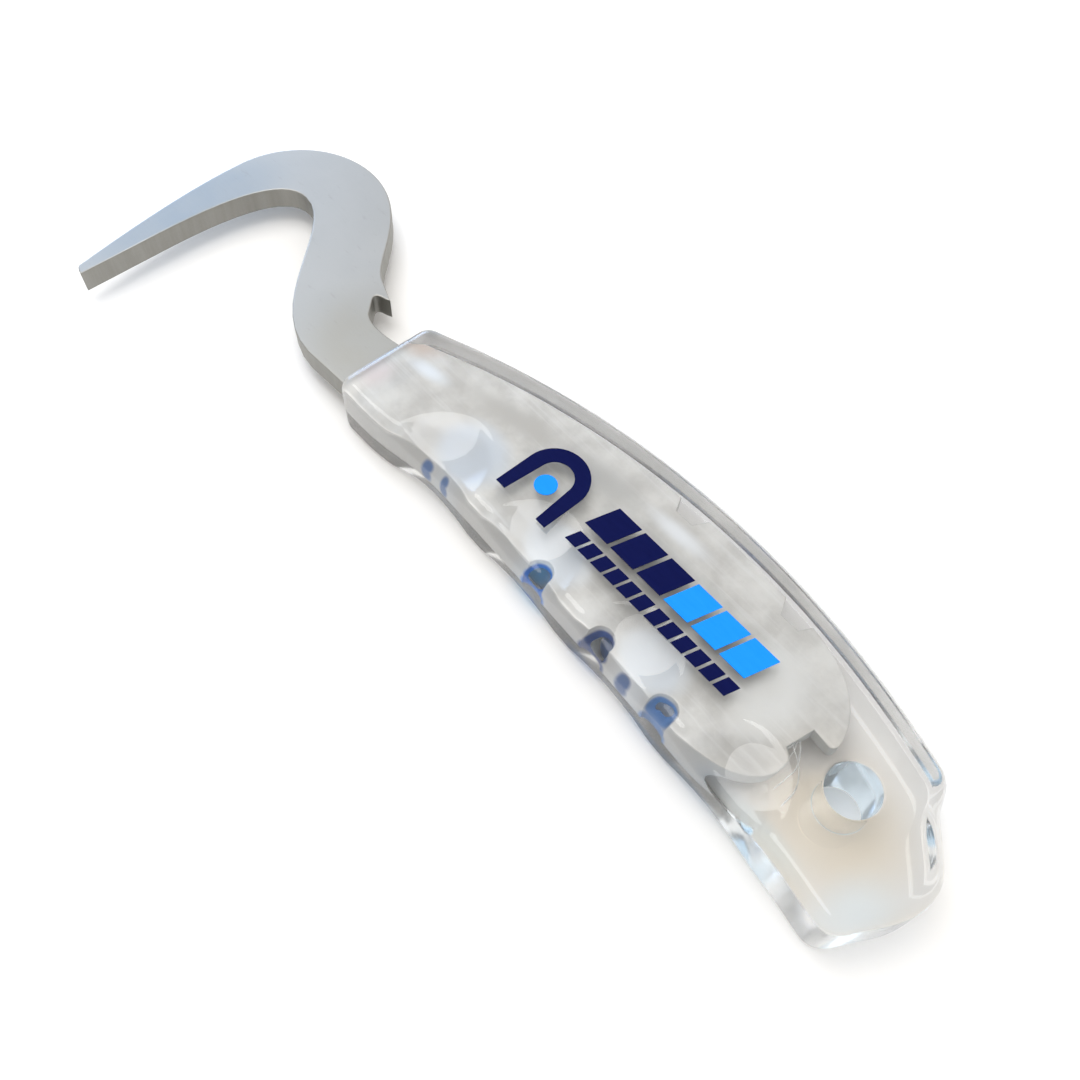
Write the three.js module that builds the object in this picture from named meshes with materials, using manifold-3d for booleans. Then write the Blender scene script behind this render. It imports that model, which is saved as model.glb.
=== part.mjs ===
// Hoof pick: one steel plate, hook and full tang together, moulded into a clear plastic handle
// with a lanyard hole, and a few plain ink marks printed on the handle.
//
// Millimetres, +Z up. The drawing frame has x = 0 at the handle's front face with the hook towards
// -X, y = 0 on the handle's axis, and z = 0 on the handle's underside. At the end the whole tool is
// moved so that the origin is under the middle of its outer box.

import * as THREE from "three";
import { mergeVertices } from "three/addons/utils/BufferGeometryUtils.js";
import Module from "manifold-3d";

// ---- driving dimensions ----

// plate
const plateThickness = 4.4;
const hookReach = 56.5; // from the handle's front face to the hook's foremost point
const hookDrop = 30.3; // from the axis down to the prong's tip
const crownHeight = 25; // from the axis up to the top of the bend
const crownRadius = 18;
const crownBand = 13.5; // plate width at the top of the bend
const crownEnd = 62; // degrees round the bend at which its arc runs out into the neck
const prongWidth = 6.4; // plate width at the root of the prong
const prongStraight = 16; // straight part of the prong's inner edge, from the tip
const tipWidth = 2.1;
const throatShift = 2.5; // middle of the throat, ahead of the crown's
const neckTop = 3.6; // neck edges where they enter the handle
const neckSag = 9.5; // lowest line of the neck, below the axis
const neckSagSetback = 10; // and its place, from the handle's front face
const neckLip = 3; // straight top edge of the neck between handle and notch
const toothSetback = 10.4; // tooth's point, from the handle's front face
const toothHeight = 8.2;
const toothBack = 4.9; // length of the tooth's flat back
const toothBackRise = 1.9;
const notchDepth = 5.8; // from the tooth's point down to the notch's floor

// handle
const handleLength = 118;
const faceWall = 3.3; // plastic over each face of the tang
const edgeRadius = 2.2; // rounding of the long edges
const frontHeight = 8.4; // back, crest and heel heights above the axis
const crestHeight = 21.3;
const crestSetback = 66;
const heelHeight = 14.6;
const heelSetin = 11; // heel corner, from the rear end
const chinDepth = 10.9; // belly depths below the axis: front, waist and rear
const waistDepth = 8.9;
const waistSetback = 26;
const toeDepth = 14.4;
const frontCorner = 3;
const toeSetin = 8.3; // start of the round toe, from the rear end
const rearBulge = 1; // widest point of the rear end, below the axis
const heelHollow = 7; // hollow under the heel, from the rear end
const heelHollowDrop = 5; // and below the heel's corner

// lanyard hole
const lanyardRadius = 4;
const lanyardSetin = 16.5; // from the handle's rear end
const lanyardHeight = 2;
const lanyardFlare = 0.4; // chamfer at each mouth

// tang
const backWall = 3; // plastic beyond the tang's back and belly edges
const bellyWall = 2;
const lanyardWall = 1.5; // plastic between the tang's lobes and the lanyard hole
const shoulderSetback = 2.4; // start of the tang's back edge, from the handle's front face
const lowerLobeSetin = 2.8; // lower lobe's tip, short of the upper one's
const lowerLobeLength = 16;
const upperLobeLength = 14;
const rearSlotHeight = 4.7;
const rearSlotDepth = 4.7;
const rearSlotLean = 0.8; // slant of the slot's floor
const rearSlotShare = 0.7; // part of the slot that lies above the lanyard hole's height
const notchRadius = 2.3; // round keys along the belly
const notchCount = 3;
const notchPitch = 14;
const firstNotch = 48.2;
const scallopMouth = 6; // flat-bottomed keys along the back
const scallopFloor = 3.4;
const scallopDepth = 2.4;
const scallopCount = 2;
const scallopPitch = 23;
const firstScallop = 55.5;
const mouldGap = 0.3; // clearance all round the tang

// ink
const inkThickness = 0.15;
const markStart = 32.4; // front edge of the printed field, from the handle's front face
const shoeRadius = 5.7;
const shoeBand = 2.6;
const shoeRise = 7.2; // straight part of each arm
const shoeMiddle = 4.2; // heights above the axis: centre of the shoe's bend, middle of the bars
const barMiddle = 5.3;
const dotRadius = 1.9;
const barGap = 3.3; // between the shoe and the bars
const barLength = 16.4;
const barHeight = 5.8;
const barSlant = 1.6;
const lineHeight = 2.6;
const lineDrop = 1.5; // between the bars and the thin lines under them

// ---- derived sizes ----

const handleThickness = plateThickness + 2 * faceWall;
const crownX = crownRadius - hookReach;
const crownY = crownHeight - crownRadius;
const lanyardX = handleLength - lanyardSetin;
const heelX = handleLength - heelSetin;
const lobeTip = lanyardX - lanyardRadius - lanyardWall;
const neckBottom = chinDepth - bellyWall;
const cutOver = 1; // how far a cutter reaches beyond what it cuts
const samePoint = 0.01; // outline points closer than this are one

const wasm = await Module();
wasm.setup();

// ---- solids ----

// A closed geometry as a manifold solid.
function toSolid(geometry) {
  const bare = geometry.index ? geometry.toNonIndexed() : geometry.clone();
  bare.deleteAttribute("normal");
  bare.deleteAttribute("uv");
  const merged = mergeVertices(bare, 1e-4);
  const mesh = new wasm.Mesh({
    numProp: 3,
    vertProperties: new Float32Array(merged.attributes.position.array),
    triVerts: new Uint32Array(merged.index.array),
  });
  return new wasm.Manifold(mesh);
}

// A manifold solid as a geometry.
function toGeometry(solid) {
  const mesh = solid.getMesh();
  const geometry = new THREE.BufferGeometry();
  geometry.setAttribute("position", new THREE.BufferAttribute(new Float32Array(mesh.vertProperties), 3));
  geometry.setIndex(new THREE.BufferAttribute(new Uint32Array(mesh.triVerts), 1));
  const flat = geometry.toNonIndexed();
  flat.computeVertexNormals();
  return flat;
}

// A shape's outline as points, anticlockwise, with those that fall together taken as one.
function outline(shape, segments) {
  const points = shape.getPoints(segments);
  return points.filter((point, i) => point.distanceTo(points[(i + 1) % points.length]) > samePoint);
}

// An outline with every edge moved outwards by a distance, or inwards where it is negative.
function offset(points, distance) {
  const facing = (a, b) => new THREE.Vector2(b.y - a.y, a.x - b.x).normalize();
  return points.map((point, i) => {
    const before = facing(points[(i + points.length - 1) % points.length], point);
    const after = facing(point, points[(i + 1) % points.length]);
    const reach = distance / (1 + before.dot(after));
    return point.clone().addScaledVector(before.add(after), reach);
  });
}

// A flat outline given thickness between two heights.
function slab(points, low, high) {
  const shape = new THREE.Shape(points);
  const geometry = new THREE.ExtrudeGeometry(shape, { depth: high - low, bevelEnabled: false });
  geometry.translate(0, 0, low);
  return geometry;
}

function subMesh(name, geometry, color, roughness, metalness) {
  const mesh = new THREE.Mesh(geometry, new THREE.MeshStandardMaterial({ color, roughness, metalness }));
  mesh.name = name;
  return mesh;
}

// ---- the handle's long edges, which the tang follows ----

// The circle through three points.
function circleThrough(a, b, c) {
  const d = 2 * (a.x * (b.y - c.y) + b.x * (c.y - a.y) + c.x * (a.y - b.y));
  const aa = a.lengthSq();
  const bb = b.lengthSq();
  const cc = c.lengthSq();
  const x = (aa * (b.y - c.y) + bb * (c.y - a.y) + cc * (a.y - b.y)) / d;
  const y = (aa * (c.x - b.x) + bb * (a.x - c.x) + cc * (b.x - a.x)) / d;
  return { x, y, radius: Math.hypot(a.x - x, a.y - y) };
}

const backArc = circleThrough(
  new THREE.Vector2(0, frontHeight),
  new THREE.Vector2(crestSetback, crestHeight),
  new THREE.Vector2(heelX, heelHeight),
);

// Height of the back at x, on the arc moved inwards by inset.
function backAt(x, inset) {
  return backArc.y + Math.sqrt((backArc.radius - inset) ** 2 - (x - backArc.x) ** 2);
}

// Angle on the back's arc, moved inwards by inset, that stands over x.
function backAngle(x, inset) {
  return Math.acos((x - backArc.x) / (backArc.radius - inset));
}

const chin = new THREE.Vector2(frontCorner * 2, -chinDepth);
const waist = new THREE.Vector2(waistSetback, -waistDepth);
const toe = new THREE.Vector2(handleLength - toeSetin, -toeDepth);

// The belly, from the chin over the waist to the toe.
const bellyFront = new THREE.CubicBezierCurve(
  chin,
  new THREE.Vector2(chin.x + 8, chin.y),
  new THREE.Vector2(waist.x - 9, waist.y + 0.2),
  waist,
);
const bellyRear = new THREE.CubicBezierCurve(
  waist,
  new THREE.Vector2(waist.x + 24, waist.y - 0.5),
  new THREE.Vector2(toe.x - 17, toe.y + 3.6),
  toe,
);

// Points on one of the belly's curves moved inwards by inset, as far as xEnd.
function bellyPoints(curve, inset, xEnd, steps) {
  const points = [];
  for (let i = 0; i <= steps; i += 1) {
    const point = curve.getPoint(i / steps);
    const tangent = curve.getTangent(i / steps);
    const moved = new THREE.Vector2(point.x - tangent.y * inset, point.y + tangent.x * inset);
    if (moved.x < xEnd) points.push(moved);
  }
  return points;
}

function handleShape() {
  const shape = new THREE.Shape();
  const end = (d) => handleLength - d;
  shape.absarc(frontCorner, chin.y + frontCorner, frontCorner, Math.PI, 1.5 * Math.PI, false);
  shape.lineTo(chin.x, chin.y);
  shape.curves.push(bellyFront, bellyRear);
  shape.currentPoint.copy(toe);
  // round toe, bulged rear end, hollow under the heel and the heel's own corner
  shape.bezierCurveTo(end(6.6), -toeDepth - 0.2, end(5.2), -toeDepth + 0.7, end(4.3), -toeDepth + 2.6);
  shape.bezierCurveTo(end(2.2), -toeDepth + 6.5, handleLength, -rearBulge - 4, handleLength, -rearBulge);
  const hollow = new THREE.Vector2(end(heelHollow), heelHeight - heelHollowDrop);
  shape.bezierCurveTo(handleLength, -rearBulge + 5.2, hollow.x + 2.2, hollow.y - 3.4, hollow.x, hollow.y);
  shape.bezierCurveTo(hollow.x - 1, hollow.y + 2.4, heelX + 2.4, heelHeight - 0.6, heelX, heelHeight);
  // front corner, an arc that touches both the back and the front face
  const cornerY = backAt(frontCorner, frontCorner);
  const cornerAngle = backAngle(frontCorner, frontCorner);
  shape.absarc(backArc.x, backArc.y, backArc.radius, backAngle(heelX, 0), cornerAngle, false);
  shape.absarc(frontCorner, cornerY, frontCorner, cornerAngle, Math.PI, false);
  return shape;
}

// ---- hook and tang ----

// The plate's outline: hook, neck and tang.
function plateShape() {
  const shape = new THREE.Shape();
  const prongX = prongWidth - hookReach;
  const throatX = crownX - throatShift;
  const throatY = crownHeight - crownBand;
  // prong's inner edge, throat, and the underside of the neck
  shape.moveTo(prongX, -hookDrop);
  shape.lineTo(prongX, -hookDrop + prongStraight);
  shape.bezierCurveTo(prongX, 2, prongX + 2.6, throatY, throatX, throatY);
  const sag = new THREE.Vector2(-neckSagSetback, -neckSag);
  shape.bezierCurveTo(throatX + 9.6, throatY, sag.x - 14.4, sag.y, sag.x, sag.y);
  shape.lineTo(0, -neckBottom);
  tangEdges(shape);
  shape.lineTo(0, neckTop);
  neckBack(shape);
  // crown, and the prong's outer edge down to its blunt tip
  const outerTip = prongX - tipWidth;
  shape.absarc(crownX, crownY, crownRadius, THREE.MathUtils.degToRad(crownEnd), Math.PI, false);
  shape.quadraticCurveTo(-hookReach - 0.3, -6, outerTip, -hookDrop + 1);
  shape.quadraticCurveTo(outerTip + 0.2, -hookDrop + 0.2, prongX, -hookDrop);
  return shape;
}

// The neck's back edge from the handle forwards: notch, tooth and the curve up to the crown.
function neckBack(shape) {
  const floor = toothHeight - notchDepth;
  const tooth = new THREE.Vector2(-toothSetback, toothHeight);
  const back = new THREE.Vector2(tooth.x - toothBack, tooth.y + toothBackRise);
  const angle = THREE.MathUtils.degToRad(crownEnd);
  const crown = new THREE.Vector2(Math.cos(angle), Math.sin(angle)).multiplyScalar(crownRadius);
  crown.add(new THREE.Vector2(crownX, crownY));
  shape.lineTo(-neckLip, neckTop - 0.6);
  shape.quadraticCurveTo(tooth.x + 2.2, floor - 0.4, tooth.x, floor + 1.2);
  shape.lineTo(tooth.x - 2, floor + 3.3);
  shape.quadraticCurveTo(tooth.x - 3.6, tooth.y - 1, tooth.x - 1, tooth.y - 0.5);
  shape.lineTo(tooth.x, tooth.y);
  shape.lineTo(back.x, back.y);
  shape.bezierCurveTo(back.x - 3.8, back.y + 1.4, crown.x + 7.2, crown.y - 3.8, crown.x, crown.y);
}

// The tang's edges, from the belly side of the neck round to its back side.
function tangEdges(shape) {
  const slotFloor = lobeTip - rearSlotDepth;
  const slotTop = lanyardHeight + rearSlotHeight * rearSlotShare;
  const slotLow = slotTop - rearSlotHeight;
  const front = bellyPoints(bellyFront, bellyWall, waist.x, 10);
  const rear = bellyPoints(bellyRear, bellyWall, lobeTip - lowerLobeLength, 20);
  for (const point of [...front, ...rear]) shape.lineTo(point.x, point.y);
  // lower lobe
  const last = rear[rear.length - 1];
  const lowerTip = lobeTip - lowerLobeSetin;
  shape.bezierCurveTo(lobeTip - 8, last.y - 0.8, lowerTip, -5.5, lowerTip, slotLow - 2.2);
  shape.quadraticCurveTo(lowerTip, slotLow - 0.8, lowerTip - 1.2, slotLow - 0.4);
  // rear slot
  shape.lineTo(slotFloor, slotLow);
  shape.lineTo(slotFloor + rearSlotLean, slotTop);
  shape.lineTo(lobeTip - 0.9, slotTop - 0.3);
  // upper lobe and the back edge
  const upperStart = lobeTip - upperLobeLength;
  const upperY = backAt(upperStart, backWall);
  shape.quadraticCurveTo(lobeTip, slotTop - 0.2, lobeTip, slotTop + 0.9);
  shape.bezierCurveTo(lobeTip - 0.8, slotTop + 6.3, lobeTip - 6, upperY - 1.2, upperStart, upperY);
  const start = backAngle(upperStart, backWall);
  const end = backAngle(shoulderSetback, backWall);
  shape.absarc(backArc.x, backArc.y, backArc.radius - backWall, start, end, false);
}

// The tang's outline with its front end closed ahead of the handle's front face.
function tangShape() {
  const shape = new THREE.Shape();
  shape.moveTo(-cutOver, neckTop);
  shape.lineTo(-cutOver, -neckBottom);
  shape.lineTo(0, -neckBottom);
  tangEdges(shape);
  shape.lineTo(0, neckTop);
  return shape;
}

// Height of the tang's belly edge at x, before its keys are cut.
function tangBellyAt(x) {
  const edge = bellyPoints(bellyRear, bellyWall, handleLength, 60);
  return edge.reduce((best, p) => (Math.abs(p.x - x) < Math.abs(best.x - x) ? p : best)).y;
}

// Outlines of the keys: round ones along the belly and flat-bottomed ones along the back.
function keyOutlines() {
  const keys = [];
  for (let i = 0; i < notchCount; i += 1) {
    const x = firstNotch + i * notchPitch;
    const shape = new THREE.Shape();
    shape.absarc(x, tangBellyAt(x), notchRadius, 0, 2 * Math.PI, false);
    keys.push(outline(shape, 16));
  }
  const slope = (scallopMouth - scallopFloor) / 2 / scallopDepth;
  for (let i = 0; i < scallopCount; i += 1) {
    const x = firstScallop + i * scallopPitch;
    const top = backAt(x, backWall);
    const mouth = scallopMouth / 2 + slope * cutOver;
    keys.push([
      new THREE.Vector2(x - mouth, top + cutOver),
      new THREE.Vector2(x - scallopFloor / 2, top - scallopDepth),
      new THREE.Vector2(x + scallopFloor / 2, top - scallopDepth),
      new THREE.Vector2(x + mouth, top + cutOver),
    ]);
  }
  return keys;
}

// A plate of the given outline with its keys cut, all of it grown outwards by grow.
function plateSolid(points, grow) {
  const low = faceWall - grow;
  const high = faceWall + plateThickness + grow;
  let solid = toSolid(slab(offset(points, grow), low, high));
  for (const key of keyOutlines()) {
    solid = solid.subtract(toSolid(slab(offset(key, -grow), low - cutOver, high + cutOver)));
  }
  return solid;
}

function hookAndTang() {
  return subMesh("hook_and_tang", toGeometry(plateSolid(outline(plateShape(), 14), 0)), 0xbfc1bf, 0.34, 1);
}

// ---- clear handle ----

// The lanyard hole's cutter, flared a little at both mouths.
function lanyardCutter() {
  const mouth = lanyardRadius + lanyardFlare + cutOver;
  const profile = [
    new THREE.Vector2(0, -cutOver),
    new THREE.Vector2(mouth, -cutOver),
    new THREE.Vector2(lanyardRadius, lanyardFlare),
    new THREE.Vector2(lanyardRadius, handleThickness - lanyardFlare),
    new THREE.Vector2(mouth, handleThickness + cutOver),
    new THREE.Vector2(0, handleThickness + cutOver),
  ];
  const cutter = new THREE.LatheGeometry(profile, 40);
  cutter.rotateX(Math.PI / 2);
  cutter.translate(lanyardX, lanyardHeight, 0);
  return cutter;
}

function clearHandle() {
  const body = new THREE.ExtrudeGeometry(new THREE.Shape(outline(handleShape(), 8)), {
    depth: handleThickness - 2 * edgeRadius,
    bevelThickness: edgeRadius,
    bevelSize: edgeRadius,
    bevelOffset: -edgeRadius,
    bevelSegments: 4,
  });
  body.translate(0, 0, edgeRadius);
  const pocket = plateSolid(outline(tangShape(), 14), mouldGap);
  const solid = toSolid(body).subtract(toSolid(lanyardCutter())).subtract(pocket);
  return subMesh("clear_handle", toGeometry(solid), 0xe6e4de, 0.06, 0);
}

// ---- ink marks, thin films on the handle's top face ----

function inkFilm(name, shape, color) {
  const film = slab(outline(shape, 10), handleThickness, handleThickness + inkThickness);
  return subMesh(name, film, color, 0.35, 0);
}

// A slanted bar from its lower front corner.
function barShape(x, y, length, height) {
  const shape = new THREE.Shape();
  const slant = (barSlant * height) / barHeight;
  shape.moveTo(x, y);
  shape.lineTo(x + length, y);
  shape.lineTo(x + length + slant, y + height);
  shape.lineTo(x + slant, y + height);
  return shape;
}

// A plain horseshoe arch, open towards the belly.
function shoeShape(x, y) {
  const shape = new THREE.Shape();
  const inner = shoeRadius - shoeBand;
  shape.moveTo(x - shoeRadius, y - shoeRise);
  shape.lineTo(x - inner - 0.6, y - shoeRise);
  shape.lineTo(x - inner, y);
  shape.absarc(x, y, inner, Math.PI, 0, true);
  shape.lineTo(x + inner + 0.6, y - shoeRise);
  shape.lineTo(x + shoeRadius, y - shoeRise);
  shape.lineTo(x + shoeRadius, y);
  shape.absarc(x, y, shoeRadius, 0, Math.PI, false);
  return shape;
}

function inkMarks() {
  const navy = 0x0b1148;
  const sky = 0x1e93ff;
  const shoeX = markStart + shoeRadius;
  const dot = new THREE.Shape();
  dot.absarc(shoeX, shoeMiddle - dotRadius, dotRadius, 0, 2 * Math.PI, false);
  const barX = shoeX + shoeRadius + barGap;
  const barY = barMiddle - barHeight / 2;
  const lineY = barY - lineDrop - lineHeight;
  const step = barLength + barSlant / 2;
  return [
    inkFilm("mark_shoe", shoeShape(shoeX, shoeMiddle), navy),
    inkFilm("mark_dot", dot, sky),
    inkFilm("mark_bar_front", barShape(barX, barY, barLength, barHeight), navy),
    inkFilm("mark_bar_rear", barShape(barX + step, barY, barLength, barHeight), sky),
    inkFilm("mark_line_front", barShape(barX, lineY, barLength, lineHeight), navy),
    inkFilm("mark_line_rear", barShape(barX + step, lineY, barLength, lineHeight), navy),
  ];
}

// ---- assembly ----

const tool = new THREE.Group();
tool.add(hookAndTang(), clearHandle(), ...inkMarks());
const box = new THREE.Box3().setFromObject(tool);
const middle = box.getCenter(new THREE.Vector3());
tool.position.set(-middle.x, -middle.y, -box.min.z);

export default tool;
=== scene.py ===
import math

import bmesh
import bpy
import numpy as np
from mathutils import Matrix, Vector


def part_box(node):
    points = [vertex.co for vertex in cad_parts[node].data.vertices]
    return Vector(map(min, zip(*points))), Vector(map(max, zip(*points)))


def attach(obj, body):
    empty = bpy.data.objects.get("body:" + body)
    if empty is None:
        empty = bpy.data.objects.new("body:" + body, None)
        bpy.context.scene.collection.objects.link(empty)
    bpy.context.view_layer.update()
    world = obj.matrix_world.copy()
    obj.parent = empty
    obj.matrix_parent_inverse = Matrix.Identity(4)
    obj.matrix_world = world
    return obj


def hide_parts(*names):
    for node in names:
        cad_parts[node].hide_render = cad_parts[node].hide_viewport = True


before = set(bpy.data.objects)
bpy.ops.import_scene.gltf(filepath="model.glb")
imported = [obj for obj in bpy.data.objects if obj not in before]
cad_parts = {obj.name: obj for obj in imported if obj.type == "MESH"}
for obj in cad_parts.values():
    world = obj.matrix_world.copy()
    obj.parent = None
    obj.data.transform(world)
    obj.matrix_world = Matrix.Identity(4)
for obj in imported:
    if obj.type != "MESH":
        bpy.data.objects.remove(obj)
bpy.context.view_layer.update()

mm = 0.001
steelLow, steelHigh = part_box("hook_and_tang")
handleLow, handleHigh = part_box("clear_handle")
plateMiddle = (steelLow.z + steelHigh.z) / 2
crestHeight = 21.3 * mm  # the back's highest point, above the handle's axis
axisHeight = handleHigh.y - crestHeight
sharpAngle = math.radians(40)  # edges that turn more than this stay crisp


# a point given from the handle's front face, its axis and its underside, in millimetres
def onTool(x, y, z=0.0):
    return Vector((handleLow.x + x * mm, axisHeight + y * mm, handleLow.z + z * mm))


def newPiece(name, verts, faces, material, smooth=True):
    mesh = bpy.data.meshes.new(name)
    mesh.from_pydata([tuple(v) for v in verts], [], faces)
    mesh.validate()
    piece = bpy.data.objects.new(name, mesh)
    bpy.context.scene.collection.objects.link(piece)
    mesh.materials.append(material)
    mesh.polygons.foreach_set("use_smooth", [smooth] * len(mesh.polygons))
    return piece


# a piece's modifiers made into plain mesh
def settle(piece):
    bpy.context.view_layer.update()
    graph = bpy.context.evaluated_depsgraph_get()
    mesh = bpy.data.meshes.new_from_object(piece.evaluated_get(graph))
    piece.modifiers.clear()
    piece.data = mesh


# a CAD node is loose triangles, so a copy is merged before its outline is read
def mergedCopy(node):
    bm = bmesh.new()
    bm.from_mesh(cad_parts[node].data)
    bmesh.ops.remove_doubles(bm, verts=bm.verts, dist=0.001 * mm)
    return bm


# the ring of points where a CAD node's wall meets the given height, anticlockwise
def ringAt(node, height):
    bm = mergedCopy(node)
    near = 0.02 * mm
    level = 0.99  # a face whose normal rises more than this is flat
    edges = [
        e
        for e in bm.edges
        if all(abs(v.co.z - height) < near for v in e.verts)
        and sum(abs(f.normal.z) > level for f in e.link_faces) != 2
    ]
    links = {}
    for e in edges:
        a, b = e.verts
        links.setdefault(a, []).append(b)
        links.setdefault(b, []).append(a)
    start = min(links, key=lambda v: v.co.x)
    ring, last, here = [start], None, start
    while True:
        ahead = [v for v in links[here] if v is not last]
        last, here = here, ahead[0]
        if here is start:
            break
        ring.append(here)
    points = np.array([(v.co.x, v.co.y) for v in ring])
    bm.free()
    x, y = points[:, 0], points[:, 1]
    area = np.sum(x * np.roll(y, -1) - np.roll(x, -1) * y)
    return points if area > 0 else points[::-1]


# a smooth closed curve through a ring of points
def splined(points, perStep=8):
    count = len(points)
    curve = []
    for i in range(count):
        p = [points[(i + k) % count] for k in (-1, 0, 1, 2)]
        t = [0.0]
        for a, b in zip(p, p[1:]):
            t.append(t[-1] + max(np.linalg.norm(b - a), 1e-9) ** 0.5)
        for step in range(perStep):
            s = t[1] + (t[2] - t[1]) * step / perStep
            a1 = (t[1] - s) / (t[1] - t[0]) * p[0] + (s - t[0]) / (t[1] - t[0]) * p[1]
            a2 = (t[2] - s) / (t[2] - t[1]) * p[1] + (s - t[1]) / (t[2] - t[1]) * p[2]
            a3 = (t[3] - s) / (t[3] - t[2]) * p[2] + (s - t[2]) / (t[3] - t[2]) * p[3]
            b1 = (t[2] - s) / (t[2] - t[0]) * a1 + (s - t[0]) / (t[2] - t[0]) * a2
            b2 = (t[3] - s) / (t[3] - t[1]) * a2 + (s - t[1]) / (t[3] - t[1]) * a3
            curve.append((t[2] - s) / (t[2] - t[1]) * b1 + (s - t[1]) / (t[2] - t[1]) * b2)
    return np.array(curve)


# count + 1 points, evenly spaced along a stretch of points
def evenly(points, count):
    gaps = np.linalg.norm(np.diff(points, axis=0), axis=1)
    along = np.concatenate([[0], np.cumsum(gaps)])
    wanted = np.linspace(0, along[-1], count + 1)
    return np.column_stack([np.interp(wanted, along, points[:, k]) for k in range(points.shape[1])])


# how far each point of a closed anticlockwise ring moves when its edges all move out by one
def outward(ring, longest=1.5, leastShare=0.1):
    ahead = np.roll(ring, -1, axis=0) - ring
    facing = np.column_stack([ahead[:, 1], -ahead[:, 0]])
    facing /= np.linalg.norm(facing, axis=1, keepdims=True)
    before = np.roll(facing, 1, axis=0)
    share = 1 + np.sum(before * facing, axis=1, keepdims=True)
    mitre = (before + facing) / np.maximum(share, leastShare)
    length = np.linalg.norm(mitre, axis=1, keepdims=True)
    return mitre * np.minimum(1, longest / length)


# a ring with its corners kept, and elsewhere no two points closer than the gap
def thinned(ring, gap, corner=25):
    ahead = np.roll(ring, -1, axis=0) - ring
    heading = np.degrees(np.arctan2(ahead[:, 1], ahead[:, 0]))
    turn = (heading - np.roll(heading, 1) + 180) % 360 - 180
    sharp = [i for i in range(len(ring)) if abs(turn[i]) > corner]
    kept = []
    for i, point in enumerate(ring):
        clear = all(np.linalg.norm(point - ring[k]) > gap for k in sharp if k != i)
        apart = not kept or np.linalg.norm(point - ring[kept[-1]]) > gap
        if i in sharp or (clear and apart):
            kept.append(i)
    return ring[kept]


# a rounded edge in steps, from a face to its wall: how far in from the wall, how far from the face
def roundedEdge(radius, steps):
    turns = [math.pi / 2 * k / steps for k in range(steps + 1)]
    return [(radius * (1 - math.sin(a)), radius * (1 - math.cos(a))) for a in turns]


# faces that join a stack of rings, which stand one above the other or hang one below the other
def bands(levels, count, rising):
    faces = []
    for level in range(levels - 1):
        a, b = level * count, (level + 1) * count
        for i in range(count):
            j = (i + 1) % count
            quad = (a + i, a + j, b + j, b + i)
            faces.append(quad if rising else quad[::-1])
    return faces


def addNode(tree, kind, **settings):
    node = tree.nodes.new(kind)
    for key, value in settings.items():
        if key in node.inputs:
            node.inputs[key].default_value = value
        else:
            setattr(node, key, value)
    return node


# a socket takes a value, a colour or another node's output
def feed(tree, socket, value):
    if isinstance(value, bpy.types.NodeSocket):
        tree.links.new(value, socket)
    elif socket.type == "RGBA":
        socket.default_value = (*value, 1)
    else:
        socket.default_value = value


def calculate(tree, operation, a, b=0.0, c=0.0):
    node = addNode(tree, "ShaderNodeMath", operation=operation)
    for value, socket in zip((a, b, c), node.inputs):
        feed(tree, socket, value)
    return node.outputs[0]


def splitOf(tree, vector):
    node = addNode(tree, "ShaderNodeSeparateXYZ")
    feed(tree, node.inputs[0], vector)
    return node.outputs


def joined(tree, x=0.0, y=0.0, z=0.0):
    node = addNode(tree, "ShaderNodeCombineXYZ")
    for value, socket in zip((x, y, z), node.inputs):
        feed(tree, socket, value)
    return node.outputs[0]


def mixColor(tree, factor, a, b):
    node = addNode(tree, "ShaderNodeMix", data_type="RGBA")
    for value, socket in zip((factor, a, b), (node.inputs[0], node.inputs[6], node.inputs[7])):
        feed(tree, socket, value)
    return node.outputs[2]


def mixValue(tree, factor, a, b):
    node = addNode(tree, "ShaderNodeMix")
    for value, label in zip((factor, a, b), ("Factor", "A", "B")):
        feed(tree, node.inputs[label], value)
    return node.outputs["Result"]


# a value carried smoothly from one range to another
def rangeOf(tree, value, source, target):
    node = addNode(tree, "ShaderNodeMapRange", interpolation_type="SMOOTHSTEP")
    feed(tree, node.inputs["Value"], value)
    for label, limit in zip(("From Min", "From Max", "To Min", "To Max"), (*source, *target)):
        feed(tree, node.inputs[label], limit)
    return node.outputs["Result"]


view = {
    "place": (75.5, -60.4, 153.9),  # mm
    "lookAt": (13.0, -1.0, 8.0),
    "roll": 3.2,  # degrees
    "lens": 36.67,
    "nearest": 10,  # mm, nothing closer is drawn
}


def makeCamera():
    data = bpy.data.cameras.new("camera")
    data.lens = view["lens"]
    data.clip_start = view["nearest"] * mm
    camera = bpy.data.objects.new("camera", data)
    bpy.context.scene.collection.objects.link(camera)
    place = Vector(view["place"]) * mm
    aim = Vector(view["lookAt"]) * mm - place
    turn = aim.to_track_quat("-Z", "Y").to_matrix().to_4x4()
    roll = Matrix.Rotation(math.radians(view["roll"]), 4, "Z")
    camera.matrix_world = Matrix.Translation(place) @ turn @ roll
    bpy.context.scene.camera = camera


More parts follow.
